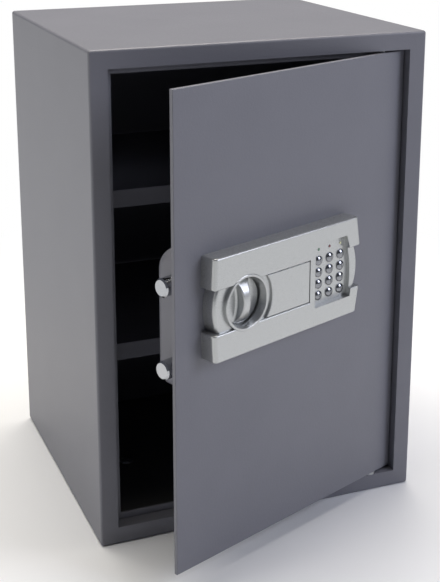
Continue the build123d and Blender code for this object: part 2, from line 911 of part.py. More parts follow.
# Solenoid: its plunger drops into the carriage's notch, or behind its end when the bolts are out
with BuildPart() as solenoid_frame:
    with BuildSketch(at_depth(door_thickness)):
        with Locations((plunger_along, solenoid_bottom)):
            Rectangle(solenoid_width, solenoid_top - solenoid_bottom, align=(Align.CENTER, Align.MIN))
    extrude(amount=solenoid_depth)
    with BuildSketch(level_on_door(solenoid_top - coil_margin)):
        with Locations((plunger_along, web_middle)):
            Circle(coil_radius)
    extrude(amount=solenoid_top - solenoid_bottom - 2 * coil_margin, mode=Mode.SUBTRACT)
    with BuildSketch(level_on_door(solenoid_top)):
        with Locations((plunger_along, web_middle)):
            Circle(plunger_radius + plunger_fit)
    extrude(amount=coil_margin, mode=Mode.SUBTRACT)

with BuildPart() as solenoid_coil:
    with BuildSketch(level_on_door(solenoid_top - coil_margin)):
        with Locations((plunger_along, web_middle)):
            Circle(coil_radius)
            Circle(plunger_radius + plunger_fit, mode=Mode.SUBTRACT)
    extrude(amount=solenoid_top - solenoid_bottom - 2 * coil_margin)

plunger_top = web_bottom - plunger_gap
with BuildPart() as plunger:
    with BuildSketch(level_on_door(plunger_top)):
        with Locations((plunger_along, web_middle)):
            Circle(plunger_radius)
    extrude(amount=plunger_top - solenoid_bottom - coil_margin - plunger_gap)
    with BuildSketch(level_on_door(collar_bottom + collar_thickness)):
        with Locations((plunger_along, web_middle)):
            Circle(collar_radius)
    extrude(amount=collar_thickness)

spring_length = collar_bottom - solenoid_top - 2 * spring_wire
spring_base = door_point(plunger_along, solenoid_top + spring_wire, web_middle)
with BuildPart() as plunger_spring:
    with BuildLine(Plane(origin=spring_base, x_dir=toward_free, z_dir=(0, 0, 1))):
        coil_path = Helix(pitch=spring_length / spring_turns, height=spring_length, radius=spring_radius)
    with BuildSketch(coil_path ^ 0):
        Circle(spring_wire)
    sweep(path=coil_path, is_frenet=True)

# Key lock behind the override cover
with BuildPart() as key_cylinder:
    with BuildSketch(at_depth(-cylinder_front)):
        with Locations(cylinder_place):
            Circle(cylinder_radius)
            Circle(plug_radius + plug_fit, mode=Mode.SUBTRACT)
    extrude(amount=cylinder_front + cylinder_back)

with BuildPart() as key_cylinder_nut:
    with BuildSketch(at_depth(door_thickness)):
        with Locations(cylinder_place):
            RegularPolygon(nut_radius, 6)
            Circle(cylinder_radius + screw_play, mode=Mode.SUBTRACT)
    extrude(amount=nut_thickness)

cam_start = cylinder_back + screw_play
with BuildPart() as key_plug:
    with BuildSketch(at_depth(-cylinder_front)):
        with Locations(cylinder_place):
            Circle(plug_radius)
    extrude(amount=cylinder_front + cam_start + key_cam_thickness)
    with BuildSketch(at_depth(-cylinder_front)):
        with Locations(cylinder_place):
            Rectangle(*keyway)
    extrude(amount=keyway_depth, mode=Mode.SUBTRACT)

with BuildPart() as key_cam:
    with BuildSketch(at_depth(cam_start)):
        with Locations((cylinder_place[0], cylinder_place[1] - key_cam_length / 2)):
            SlotCenterToCenter(key_cam_length, key_cam_width, rotation=90)
        with Locations(cylinder_place):
            Circle(key_cam_hub_radius)
            Circle(plug_radius, mode=Mode.SUBTRACT)
    extrude(amount=key_cam_thickness)

# Keypad: board, rubber pad, twelve domed keys and three lamps
board_back = board_front - board_thickness
with BuildPart() as keypad_board:
    with BuildSketch(at_depth(-board_front)):
        with Locations(pocket_middle):
            Rectangle(pocket_width + 2 * board_margin, pocket_height + 2 * board_margin)
    extrude(amount=board_thickness)

with BuildPart() as keypad_pad:
    with BuildSketch(at_depth(-board_front)):
        with Locations((pocket_middle[0], pocket_bottom + pad_margin)):
            Rectangle(
                pocket_width - 2 * pad_margin,
                key_rows[0] + key_flange_radius - pocket_bottom - pad_margin,
                align=(Align.CENTER, Align.MIN),
            )
    extrude(amount=-pad_thickness)

key_names = [["1", "2", "3"], ["4", "5", "6"], ["7", "8", "9"], ["star", "0", "hash"]]
key_top = field_height + key_rise
dome_radius = (key_radius**2 + key_dome**2) / (2 * key_dome)
keys = {}
for names, row in zip(key_names, key_rows):
    for key_name, column in zip(names, key_columns):
        with BuildPart() as key:
            with BuildSketch(at_depth(-pocket_depth)):
                with Locations((column, row)):
                    Circle(key_flange_radius)
            extrude(amount=key_flange_thickness)
            with BuildSketch(at_depth(-pocket_depth)):
                with Locations((column, row)):
                    Circle(key_radius)
            extrude(amount=pocket_depth - key_top)
            axis_plane = Plane(
                origin=door_point(column, row, -key_top), x_dir=toward_free, z_dir=(0, 0, -1)
            )
            with BuildSketch(axis_plane):
                with BuildLine():
                    Line((0, 0), (key_radius, 0))
                    RadiusArc((key_radius, 0), (0, -key_dome), dome_radius)
                    Line((0, -key_dome), (0, 0))
                make_face()
            revolve(axis=Axis(door_point(column, row, -key_top), inward))
        keys[key_name] = key

lamps = {}
for lamp_name, column in zip(("green", "red", "yellow"), key_columns):
    with BuildPart() as lamp:
        with BuildSketch(at_depth(-board_front)):
            with Locations((column, lamp_height)):
                Circle(lamp_radius)
        extrude(amount=board_front - field_height - lamp_rise)
        fillet(faces_at(lamp, -field_height - lamp_rise).edges(), lamp_rise)
    lamps[lamp_name] = lamp

# Lock case: a drawn tray over the works, with the battery box and the reset button at its back
case_left = free_edge - case_near
case_right = free_edge - case_far
case_centre = ((case_left + case_right) / 2, (case_top + case_bottom) / 2)
battery_place = (free_edge - battery_setback, battery_height)
reset_place = (free_edge - battery_setback, reset_height)
with BuildPart() as case_hollow:
    with BuildSketch(at_depth(door_thickness)):
        with Locations(case_centre):
            RectangleRounded(
                case_left - case_right - 2 * case_sheet,
                case_top - case_bottom - 2 * case_sheet,
                case_corner - case_sheet,
            )
    extrude(amount=case_depth - case_sheet)
    fillet(faces_at(case_hollow, case_inner_back).edges(), case_round - case_sheet)

with BuildPart() as lock_case:
    with BuildSketch(at_depth(door_thickness)):
        with Locations(case_centre):
            RectangleRounded(case_left - case_right, case_top - case_bottom, case_corner)
    extrude(amount=case_depth)
    fillet(faces_at(lock_case, case_back).edges(), case_round)
    with BuildSketch(at_depth(door_thickness)):
        for ear_place in ear_places:
            with Locations((free_edge - ear_place, case_centre[1])):
                Rectangle(ear_size[0], case_top - case_bottom + 2 * ear_size[1])
            for ear_z in (case_top + ear_size[1] / 2, case_bottom - ear_size[1] / 2):
                with Locations((free_edge - ear_place, ear_z)):
                    Circle(case_screw_radius + screw_play, mode=Mode.SUBTRACT)
    extrude(amount=case_sheet)
    add(case_hollow.part, mode=Mode.SUBTRACT)
    with BuildSketch(at_depth(case_inner_back)):
        with Locations(battery_place):
            Rectangle(window_size, window_size)
        with Locations(reset_place):
            Circle(reset_radius + reset_fit)
    extrude(amount=case_sheet, mode=Mode.SUBTRACT)
    for bolt_height in bolt_heights.values():
        with BuildSketch(across_door(case_left + case_sheet, bolt_height, bolt_depth)):
            Circle(bolt_radius + bolt_fit)
        extrude(amount=-case_corner / 2, mode=Mode.SUBTRACT)

with BuildPart() as lock_case_screws:
    for ear_place in ear_places:
        for ear_z in (case_top + ear_size[1] / 2, case_bottom - ear_size[1] / 2):
            with BuildSketch(at_depth(door_thickness + case_sheet)):
                with Locations((free_edge - ear_place, ear_z)):
                    Circle(case_screw_head[0])
            extrude(amount=case_screw_head[1])
            with BuildSketch(at_depth(door_thickness + case_sheet)):
                with Locations((free_edge - ear_place, ear_z)):
                    Circle(case_screw_radius)
            extrude(amount=-case_sheet - case_screw_bite + screw_play)

battery_front = case_inner_back - battery_box_depth
with BuildPart() as battery_box:
    with BuildSketch(at_depth(battery_front)):
        with Locations(battery_place):
            Rectangle(battery_box_size, battery_box_size)
    extrude(amount=battery_box_depth)
    with BuildSketch(at_depth(battery_front + battery_wall)):
        with Locations(battery_place):
            Rectangle(battery_box_size - 2 * battery_wall, battery_box_size - 2 * battery_wall)
    extrude(amount=battery_box_depth - battery_wall, mode=Mode.SUBTRACT)

cell_depth = battery_front + battery_wall + cell_radius + screw_play
with BuildPart() as batteries:
    for step in range(cell_count):
        cell_along = battery_place[0] + (step - (cell_count - 1) / 2) * cell_pitch
        with BuildSketch(level_on_door(battery_height + cell_length / 2)):
            with Locations((cell_along, cell_depth)):
                Circle(cell_radius)
        extrude(amount=cell_length)

with BuildPart() as battery_cover:
    with BuildSketch(at_depth(case_back)):
        with Locations(battery_place):
            RectangleRounded(battery_cover_size, battery_cover_size, battery_cover_thickness)
    extrude(amount=battery_cover_thickness)
    fillet(faces_at(battery_cover, case_back + battery_cover_thickness).edges(), battery_wall / 2)
    with BuildSketch(at_depth(case_back - battery_plug)):
        with Locations(battery_place):
            plug_size = window_size - 2 * battery_plug_gap
            Rectangle(plug_size, plug_size)
            Rectangle(plug_size - 2 * battery_wall, plug_size - 2 * battery_wall, mode=Mode.SUBTRACT)
    extrude(amount=battery_plug)

with BuildPart() as control_board:
    with BuildSketch(at_depth(battery_front - board_thickness)):
        with Locations(battery_place):
            Rectangle(window_size, window_size)
    extrude(amount=board_thickness)

with BuildPart() as keypad_lead:
    with BuildSketch(at_depth(-board_back)):
        with Locations((free_edge - key_centre_setback, lead_height)):
            Circle(lead_radius)
    extrude(amount=board_back + battery_front - board_thickness)

with BuildPart() as reset_switch:
    with BuildSketch(at_depth(case_inner_back - switch_depth)):
        with Locations(reset_place):
            Circle(switch_radius)
    extrude(amount=switch_depth)
    with BuildSketch(at_depth(case_inner_back - switch_depth + switch_floor)):
        with Locations(reset_place):
            Circle(reset_flange[0] + reset_fit)
    extrude(amount=switch_depth - switch_floor, mode=Mode.SUBTRACT)

with BuildPart() as reset_button:
    with BuildSketch(at_depth(case_inner_back - reset_flange[1])):
        with Locations(reset_place):
            Circle(reset_flange[0])
    extrude(amount=reset_flange[1])
    with BuildSketch(at_depth(case_inner_back)):
        with Locations(reset_place):
            Circle(reset_radius)
    extrude(amount=case_sheet + reset_proud)
    fillet(faces_at(reset_button, case_back + reset_proud).edges(), reset_travel / 2)

pieces = {
    "body_shell": body_shell,
    "back_panel": back_panel,
    "floor_mat": floor_mat,
    "hinge_plates": hinge_plates,
    "hinge_washer": hinge_washer,
    "shelf_rails_upper": rails["upper"],
    "shelf_rails_lower": rails["lower"],
    "shelf_upper": shelves["upper"],
    "shelf_lower": shelves["lower"],
    "door_plate": door_plate,
    "hinge_lugs": hinge_lugs,
    "hinge_pins": hinge_pins,
    "fascia": fascia,
    "fascia_screws": fascia_screws,
    "override_cover": override_cover,
    "knob": knob,
    "spindle": spindle,
    "spindle_cam": spindle_cam,
    "spindle_bush": spindle_bush,
    "bolt_carriage": bolt_carriage,
    "bolt_upper": bolts["upper"],
    "bolt_lower": bolts["lower"],
    "bolt_screws": bolt_screws,
    "guide_plate": guide_plate,
    "guide_pins": guide_pins,
    "solenoid_frame": solenoid_frame,
    "solenoid_coil": solenoid_coil,
    "plunger": plunger,
    "plunger_spring": plunger_spring,
    "key_cylinder": key_cylinder,
    "key_cylinder_nut": key_cylinder_nut,
    "key_plug": key_plug,
    "key_cam": key_cam,
    "keypad_board": keypad_board,
    "keypad_pad": keypad_pad,
    "lock_case": lock_case,
    "lock_case_screws": lock_case_screws,
    "battery_box": battery_box,
    "batteries": batteries,
    "battery_cover": battery_cover,
    "control_board": control_board,
    "keypad_lead": keypad_lead,
    "reset_switch": reset_switch,
    "reset_button": reset_button,
}
for key_name, key in keys.items():
    pieces[f"key_{key_name}"] = key
for lamp_name, lamp in lamps.items():
    pieces[f"lamp_{lamp_name}"] = lamp

os.makedirs("parts", exist_ok=True)
for label, piece in pieces.items():
    piece.part.label = label
    export_step(piece.part, f"parts/{label}.step")
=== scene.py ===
# %% [markdown]
# # A furniture safe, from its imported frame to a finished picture
#
# The safe is a folded steel cabinet with a hinged door. A silver keypad lock is screwed to the
# door, and its knob draws two steel bolts in and out. The frame holds every piece at its true
# place and size, so this script adds what a frame can't hold: the finish of each surface, the
# lights, the camera, and the few pieces whose curves need a finer surface than the frame's.

# %% Load the frame
import json
from math import pi, radians

import bmesh
import bpy
import numpy as np
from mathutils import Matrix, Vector


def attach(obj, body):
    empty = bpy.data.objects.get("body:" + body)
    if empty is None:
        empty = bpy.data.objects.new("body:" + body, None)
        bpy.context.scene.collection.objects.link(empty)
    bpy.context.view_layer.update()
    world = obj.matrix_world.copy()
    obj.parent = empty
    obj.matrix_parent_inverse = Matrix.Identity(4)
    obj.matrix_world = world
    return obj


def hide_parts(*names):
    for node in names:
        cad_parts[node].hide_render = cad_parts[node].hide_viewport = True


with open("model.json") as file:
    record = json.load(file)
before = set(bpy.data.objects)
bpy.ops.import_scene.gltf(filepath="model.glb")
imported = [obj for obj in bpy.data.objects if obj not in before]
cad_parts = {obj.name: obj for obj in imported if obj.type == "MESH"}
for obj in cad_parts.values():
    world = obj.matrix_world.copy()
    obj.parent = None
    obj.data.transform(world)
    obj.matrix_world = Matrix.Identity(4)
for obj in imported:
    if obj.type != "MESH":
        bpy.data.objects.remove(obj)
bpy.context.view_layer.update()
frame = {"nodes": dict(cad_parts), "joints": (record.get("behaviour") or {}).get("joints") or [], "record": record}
nodes = frame["nodes"]
joints = {joint["name"]: joint for joint in frame["joints"]}
mm = 0.001
print("nodes in the frame:", len(nodes))

# %% [markdown]
# ## The door's own directions
#
# The door stands ajar, so its pieces are turned in the frame. Everything on it is easier to place
# along its width, up its height and out from its face. The joints know these directions: the
# bolts slide towards the free edge, and the knob turns about the outward axis. Reading them from
# the joints is safer than typing an angle, because the pieces made here then follow the frame if
# it changes.

# %% Door directions and measures
toward_free = np.array(joints["bolt_slide"]["axis"])
outward = np.array(joints["knob_turn"]["axis"])
upward = np.array([0.0, 0.0, 1.0])
door_axes = np.array([toward_free, upward, outward])
knob_centre = np.array(joints["knob_turn"]["pos_m"])


def on_door(along, high, out):
    """Points in metres, from millimetres along, up and out from the knob's centre on the face."""
    local = np.stack(np.broadcast_arrays(along, high, out), axis=-1) * mm
    return knob_centre + local @ door_axes


def door_box(node):
    """A frame node's lowest and highest along, up and out, in millimetres as in on_door."""
    mesh = nodes[node].data
    points = np.empty(3 * len(mesh.vertices))
    mesh.vertices.foreach_get("co", points)
    local = (points.reshape(-1, 3) - knob_centre) @ door_axes.T / mm
    return local.min(0), local.max(0)


_, knob_high = door_box("knob")
print("knob radius", round(knob_high[0], 2), "front", round(knob_high[2], 2), "mm")

# %% [markdown]
# ## Surfaces from whole arrays
#
# A surface here is a grid: one array of points with two parameters, the turn about an axis and
# the way along a profile. Neighbouring points make the faces, so the mesh needs no loop over its
# points. The first parameter runs once round, so the last row joins the first.

# %% Grid to mesh
def ring_faces(rows, columns):
    """Quads of a grid of points whose first parameter runs once round."""
    row = np.arange(rows)[:, None]
    column = np.arange(columns - 1)[None, :]
    here = row * columns + column
    beside = (row + 1) % rows * columns + column
    return np.stack([here, beside, beside + 1, here + 1], axis=-1).reshape(-1, 4)


def mesh_piece(name, points, faces, material, smooth=True):
    """An object at the origin from points in metres and faces as lists of corners."""
    mesh = bpy.data.meshes.new(name)
    corners = [list(map(int, face)) for face in faces]
    mesh.from_pydata(points.reshape(-1, 3).tolist(), [], corners)
    mesh.polygons.foreach_set("use_smooth", [smooth] * len(mesh.polygons))
    mesh.materials.append(material)
    mesh.validate()
    mesh.update()
    piece = bpy.data.objects.new(name, mesh)
    bpy.context.scene.collection.objects.link(piece)
    return piece


# %% [markdown]
# ## Colours and nodes
#
# Colours are picked as they look on a screen, in hex, while the renderer counts light in a
# straight line. One function turns the first into the second. Another adds a node, gives its
# sockets values or links, and hands it back.

# %% Colour and node helpers
def linear_colour(code):
    """Linear red, green, blue and alpha of a hex colour, by the sRGB curve."""
    levels = np.array([int(code[place:place + 2], 16) for place in (1, 3, 5)]) / 255
    linear = np.where(levels <= 0.04045, levels / 12.92, ((levels + 0.055) / 1.055) ** 2.4)
    return (*linear.tolist(), 1.0)


def add_node(tree, kind, inputs=None, **settings):
    """Adds a node. Settings are its properties, and inputs give sockets a value or a link."""
    node = tree.nodes.new(kind)
    for name, value in settings.items():
        setattr(node, name, value)
    for socket, value in (inputs or {}).items():
        if isinstance(value, bpy.types.NodeSocket):
            tree.links.new(value, node.inputs[socket])
        else:
            node.inputs[socket].default_value = value
    return node


def start_material(name, **shader_values):
    """A principled material with constants on the shader's own sockets, and its object points."""
    material = bpy.data.materials.new(name)
    material.use_nodes = True
    tree = material.node_tree
    shader = tree.nodes["Principled BSDF"]
    for socket, value in shader_values.items():
        shader.inputs[socket.replace("_", " ")].default_value = value
    place = add_node(tree, "ShaderNodeTexCoord").outputs["Object"]
    return material, tree, shader, place


# %% [markdown]
# ## The steps that every finish shares
#
# A real surface is never one flat value. Each finish starts with noise at the size of a real
# feature, in millimetres, and that one noise then drives three things: a small change of colour,
# a small change of roughness, and the height that the bump is made from. Noise stays near its
# middle and seldom leaves 0.3 to 0.7, so some finishes stretch that part over the whole range.

# %% Shared steps
usual_noise = (0.3, 0.7)
full_range = (0.0, 1.0)


def per_metre(size):
    """A texture's scale for a feature of that many millimetres."""
    return 1 / (size * mm)


def noise(tree, place, size, detail):
    """Noise with features of that many millimetres."""
    inputs = {"Vector": place, "Scale": per_metre(size), "Detail": detail}
    return add_node(tree, "ShaderNodeTexNoise", inputs).outputs["Fac"]


def tint(tree, amount, dark, light):
    """A colour between two hex colours. Sockets 6 and 7 are the two colours of a mix."""
    inputs = {"Factor": amount, 6: linear_colour(dark), 7: linear_colour(light)}
    return add_node(tree, "ShaderNodeMix", inputs, data_type="RGBA").outputs[2]


def spread(tree, value, low, high, reach=full_range):
    """A value stretched from its own reach to another, and held at the ends."""
    inputs = {"Value": value, "From Min": reach[0], "From Max": reach[1],
              "To Min": low, "To Max": high}
    return add_node(tree, "ShaderNodeMapRange", inputs).outputs["Result"]


def bump(tree, height, depth, strength=1.0, **settings):
    """A bump node whose full height is that many millimetres."""
    inputs = {"Height": height, "Strength": strength, "Distance": depth * mm}
    return add_node(tree, "ShaderNodeBump", inputs, **settings)


def feed(tree, shader, colour, relief, roughness=None):
    """Links a colour, a bump node and maybe a roughness to a principled shader."""
    tree.links.new(colour, shader.inputs["Base Color"])
    tree.links.new(relief.outputs["Normal"], shader.inputs["Normal"])
    if roughness is not None:
        tree.links.new(roughness, shader.inputs["Roughness"])


print("noise of 1 mm has scale", per_metre(1))

# %% [markdown]
# ## Powder-coated steel
#
# The cabinet, the door, the shelves and the lock case are sheet steel with a baked powder coat.
# The powder melts and flows out, but not fully: it leaves an orange peel of soft bumps a
# millimetre or two wide, with finer grains between them. In a flat light the coat looks even, and
# where a light glances off it the bumps break the gloss into fine specks. So the colour barely
# varies, and the look comes from bump at two sizes and a roughness that drifts a little.

# %% Powder coat
grain_share = 0.4


def powder_coat(name, dark, light, roughness, peel_depth):
    """Powder coat between two colours, with a range of roughness and a peel of that depth."""
    material, tree, shader, place = start_material(name, IOR=1.5)
    cloud = noise(tree, place, size=60, detail=3.0)
    grain = noise(tree, place, size=0.7, detail=2.0)
    peel = noise(tree, place, size=1.8, detail=1.0)
    fine = bump(tree, grain, grain_share * peel_depth)
    both = bump(tree, peel, peel_depth)
    tree.links.new(fine.outputs["Normal"], both.inputs["Normal"])
    gloss = spread(tree, grain, *roughness, reach=usual_noise)
    feed(tree, shader, tint(tree, cloud, dark, light), both, gloss)
    return material


grey_enamel = powder_coat(
    "powder_coated_steel", "#696a73", "#70717a", roughness=(0.36, 0.50), peel_depth=0.10
)
print("finish:", grey_enamel.name)

# %% [markdown]
# ## Silver-lacquered ABS
#
# The lock's face, its knob and its cover are moulded ABS, sprayed with a lacquer full of fine
# aluminium flakes. The flakes lie nearly flat, so the coat is mostly a metal: bright where it
# mirrors a light, grey where it doesn't, with a soft edge between. Each flake is far too small to
# see, so the speckle here is coarser than the real one and very faint.

# %% Silver lacquer
def silver_lacquer(name, dark, light, roughness, flake_size):
    """Lacquer with flakes between two colours, and a range of roughness."""
    material, tree, shader, place = start_material(name, Metallic=0.8)
    flakes = noise(tree, place, size=flake_size, detail=1.0)
    relief = bump(tree, flakes, depth=0.01, strength=0.15)
    gloss = spread(tree, flakes, *roughness)
    feed(tree, shader, tint(tree, flakes, dark, light), relief, gloss)
    return material


silver_abs = silver_lacquer(
    "silver_lacquered_abs", "#b0b2b3", "#bcbebe", roughness=(0.22, 0.36), flake_size=0.35
)
print("finish:", silver_abs.name)

# %% [markdown]
# ## Plated and plain metals
#
# The bolts are plated with chrome and polished, which makes a nearly perfect mirror with only
# faint marks. The keys have a darker chrome on plastic. The small works are zinc-plated: a duller
# mirror, clouded in patches a few millimetres wide where the crystals grew. The key lock is
# turned brass. One function makes all of them from two colours, a range of roughness, and the
# size and depth of the marks in millimetres.

# %% Metals
def metal(name, dark, light, roughness, mark_size, mark_depth):
    """Bare or plated metal with soft marks."""
    material, tree, shader, place = start_material(name, Metallic=1.0)
    marks = noise(tree, place, size=mark_size, detail=4.0)
    gloss = spread(tree, marks, *roughness, reach=usual_noise)
    feed(tree, shader, tint(tree, marks, dark, light), bump(tree, marks, mark_depth), gloss)
    return material


chrome = metal("polished_chrome_plate", "#aeb0b4", "#b8babe", (0.08, 0.15), 6.0, 0.002)
key_chrome = metal("dark_chrome_plate", "#86888d", "#929499", (0.10, 0.17), 3.0, 0.002)
zinc_steel = metal("zinc_plated_steel", "#a9abac", "#c2c4c6", (0.28, 0.45), 3.0, 0.01)
brass = metal("turned_brass", "#b8965a", "#cbab6c", (0.22, 0.34), 1.0, 0.01)
print("finishes:", chrome.name, key_chrome.name, zinc_steel.name, brass.name)

# %% [markdown]
# ## Plastics, rubber and felt
#
# Moulded plastics differ in colour, gloss and the grain of their tool. The grain is noise at the
# tool's own size, used as bump and as a slight drift in gloss and tone. The felt mat's fibres
# stand up in a nap, so its grain is far deeper and the shader has a sheen like cloth. Each call
# gives two colours, the roughness, and the size and depth of the grain in millimetres.

# %% Moulded finishes
gloss_drift = 0.08


def moulded(name, dark, light, roughness, grain_size, grain_depth, **shader_values):
    """A moulded or woven finish whose roughness drifts a little round one value."""
    material, tree, shader, place = start_material(name, **shader_values)
    grain = noise(tree, place, size=grain_size, detail=3.0)
    gloss = spread(tree, grain, roughness - gloss_drift, roughness + gloss_drift)
    feed(tree, shader, tint(tree, grain, dark, light), bump(tree, grain, grain_depth), gloss)
    return material


felt = moulded("needled_felt", "#17181a", "#2c2d30", 0.9, 0.6, 0.4, Sheen_Weight=0.3)
bush_nylon = moulded("natural_nylon", "#d6d3c4", "#dedbcd", 0.45, 0.8, 0.01)
black_abs = moulded("textured_black_abs", "#141416", "#1d1d20", 0.5, 0.6, 0.05)
pad_rubber = moulded("silicone_rubber", "#26262a", "#2d2d31", 0.6, 0.8, 0.02)
lead_pvc = moulded("pvc_sheath", "#1b1b1e", "#232327", 0.4, 1.5, 0.01)
cell_sleeve = moulded("shrink_sleeve", "#182a4e", "#20345c", 0.25, 3.0, 0.01)
red_button = moulded("red_abs", "#a01512", "#b01c18", 0.3, 0.8, 0.01)
digit_ink = moulded("black_ink", "#2a2b2d", "#343538", 0.5, 0.4, 0.005)
print("moulded finishes ready")

# %% [markdown]
# ## The winding, the boards and the lamps
#
# The solenoid's coil is enamelled copper wire in layers, so its bump is a band pattern, with
# crests about two wires apart; the same bands paint the copper darker in the grooves between
# turns, which is painted shade, and lighter on the crests. The boards have a green solder mask
# over copper, with tracks that stand a little proud: a pattern of bricks a little over half a
# millimetre wide hints at them.
# The lamps are tinted diffusing lenses.

# %% Winding, board and lens finishes
def wound_copper(name, dark, light, wire_size, wire_bulge, waver):
    """Bands round the coil's upright axis, which also paint the copper darker in the grooves between turns as
    painted shade. The bulge is a share of the wire's size.
    """
    material, tree, shader, place = start_material(name, Roughness=0.3, Coat_Weight=0.4)
    inputs = {"Vector": place, "Scale": per_metre(wire_size) / (2 * pi), "Distortion": waver}
    turns_and_groove_shade = add_node(tree, "ShaderNodeTexWave", inputs, bands_direction="Z").outputs["Fac"]
    # The colour follows the same bands: darker copper in the grooves between turns is painted shade, lighter on
    # the crests.
    feed(tree, shader, tint(tree, turns_and_groove_shade, dark, light), bump(tree, turns_and_groove_shade, wire_bulge * wire_size))
    return material


def solder_mask(name, dark, light, gap, track_size, track_height):
    """A board's mask, with bricks half of track_size wide and a darker gap between them."""
    material, tree, shader, place = start_material(name, Roughness=0.3, Coat_Weight=0.5)
    inputs = {"Vector": place, "Scale": per_metre(track_size), "Mortar Size": 0.06,
              "Color1": linear_colour(dark), "Color2": linear_colour(light),
              "Mortar": linear_colour(gap)}
    tracks = add_node(tree, "ShaderNodeTexBrick", inputs).outputs
    relief = bump(tree, tracks["Fac"], track_height, strength=0.4, invert=True)
    feed(tree, shader, tracks["Color"], relief)
    return material


def lens(name, dark, light):
    """A smooth tinted lens under a clear coat."""
    return moulded(name, dark, light, 0.2, 1.0, 0.002, Coat_Weight=0.5)


copper_coil = wound_copper(
    "enamelled_copper_wire", "#6e3312", "#a85a2c", wire_size=0.5, wire_bulge=0.3, waver=0.3
)
circuit_board = solder_mask(
    "green_solder_mask", "#1b5a31", "#20663a", "#144a27", track_size=1.25, track_height=0.03
)
green_lens = lens("green_diffused_lens", "#587a66", "#64866f")
red_lens = lens("red_diffused_lens", "#6a3d40", "#744448")
yellow_lens = lens("yellow_diffused_lens", "#c2c49c", "#cccea8")
print("winding, board and lens finishes ready")

# %% [markdown]
# ## Each frame piece gets its finish
#
# The record names a finish for each node, so the materials are handed out by that name. A node's
# mesh is never changed: only its material slot is filled.

# %% Hand out the finishes
finishes = {
    "grey_enamel": grey_enamel,
    "silver_abs": silver_abs,
    "chrome": chrome,
    "zinc_steel": zinc_steel,
    "brass": brass,
    "felt": felt,
    "bush_nylon": bush_nylon,
    "black_abs": black_abs,
    "copper_coil": copper_coil,
    "circuit_board": circuit_board,
    "pad_rubber": pad_rubber,
    "lead_pvc": lead_pvc,
    "cell_sleeve": cell_sleeve,
    "red_button": red_button,
    "green_lens": green_lens,
    "red_lens": red_lens,
    "yellow_lens": yellow_lens,
}
for subpart in frame["record"]["subparts"]:
    slots = nodes[subpart["node"]].data.materials
    slots.clear()
    slots.append(finishes[subpart["material_slot"]])
print("finishes handed out:", len(finishes))

# %% [markdown]
# ## The keytops
#
# Each key is a small moulded cap, plated with chrome, with a domed top that a fingertip finds by
# touch. In the frame the dome meets the key's wall at a sharp rim. A real mould rounds that rim,
# and the rounding catches a thin ring of light. So each cap is revolved again from its profile:
# the dome, the rim's small arc, the wall and the flange that keeps it behind the face. Its size
# and place are read from the frame's own key, and the new cap stands in for it. The flange is a
# hair thinner than the frame's, so that it doesn't share a plane with the back of the face.

# %% Keytops
signs = {str(digit): str(digit) for digit in range(10)} | {"star": "*", "hash": "#"}
flange_rim = 0.7
frame_flange_thickness = 1.0
flange_gap = 0.04
flange_thickness = frame_flange_thickness - flange_gap
dome_height = 1.9
rim_round = 0.4
dome_rings = 24
rim_rings = 9
turn_steps = 72


def revolved(name, centre, radii, outs, material):
    """A closed piece turned about the outward axis. Its profile starts and ends on the axis."""
    turn = np.linspace(0, 2 * pi, turn_steps, endpoint=False)[:, None]
    along = centre[0] + radii[1:-1] * np.cos(turn)
    high = centre[1] + radii[1:-1] * np.sin(turn)
    rings = on_door(along, high, outs[1:-1]).reshape(-1, 3)
    poles = on_door(*centre, outs[[0, -1]])
    points = np.concatenate([rings, poles])
    top, bottom = len(rings), len(rings) + 1
    columns = len(radii) - 2
    first = np.arange(turn_steps) * columns
    following = np.roll(first, -1)
    last = columns - 1
    faces = ring_faces(turn_steps, columns).tolist()
    faces += [[a, b, top] for a, b in zip(first, following)]
    faces += [[a, b, bottom] for a, b in zip(first + last, following + last)]
    piece = mesh_piece(name, points, faces, material)
    work = bmesh.new()
    work.from_mesh(piece.data)
    bmesh.ops.recalc_face_normals(work, faces=work.faces)
    work.to_mesh(piece.data)
    work.free()
    return piece


def key_shape(node):
    """A frame key's centre, its lowest and highest out, its wall's and its dome's radius."""
    low, high = door_box(node)
    wall = (high[0] - low[0]) / 2 - flange_rim
    dome = (wall**2 + dome_height**2) / (2 * dome_height)
    return (low + high)[:2] / 2, low[2], high[2], wall, dome


for key_name in signs:
    node = f"key_{key_name}"
    centre, base, crown, wall, dome = key_shape(node)
    rim_start = np.arcsin((wall - rim_round) / (dome - rim_round))
    dome_turn = np.linspace(0, rim_start, dome_rings)
    rim_turn = np.linspace(rim_start, pi / 2, rim_rings)[1:]
    rim_centre = crown - dome + (dome - rim_round) * np.cos(rim_start)
    flange = wall + flange_rim
    radii = np.concatenate([
        dome * np.sin(dome_turn),
        wall - rim_round + rim_round * np.sin(rim_turn),
        [wall, flange, flange, 0],
    ])
    outs = np.concatenate([
        crown - dome + dome * np.cos(dome_turn),
        rim_centre + rim_round * np.cos(rim_turn),
        [base + flange_thickness, base + flange_thickness, base, base],
    ])
    cap = revolved(f"keytop_{key_name}_cap", centre, radii, outs, key_chrome)
    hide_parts(node)
    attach(cap, f"keytop_{key_name}")
print("keytops:", len(signs), "with a dome radius of", round(dome, 2), "mm")

# %% [markdown]
# ## The signs on the keys
#
# The digits, the star and the hash are printed on the domes in dark ink with a soft pad, which
# wraps the print round the curve. Here each sign is a flat outline, cut into small triangles, and
# every point of it is then lifted to the dome plus the ink's thickness. Seen from the front, the
# reader's right is the side of the hinges.

# %% Signs
sign_reach = 3.2
ink_thickness = 0.02
edge_cuts = 3


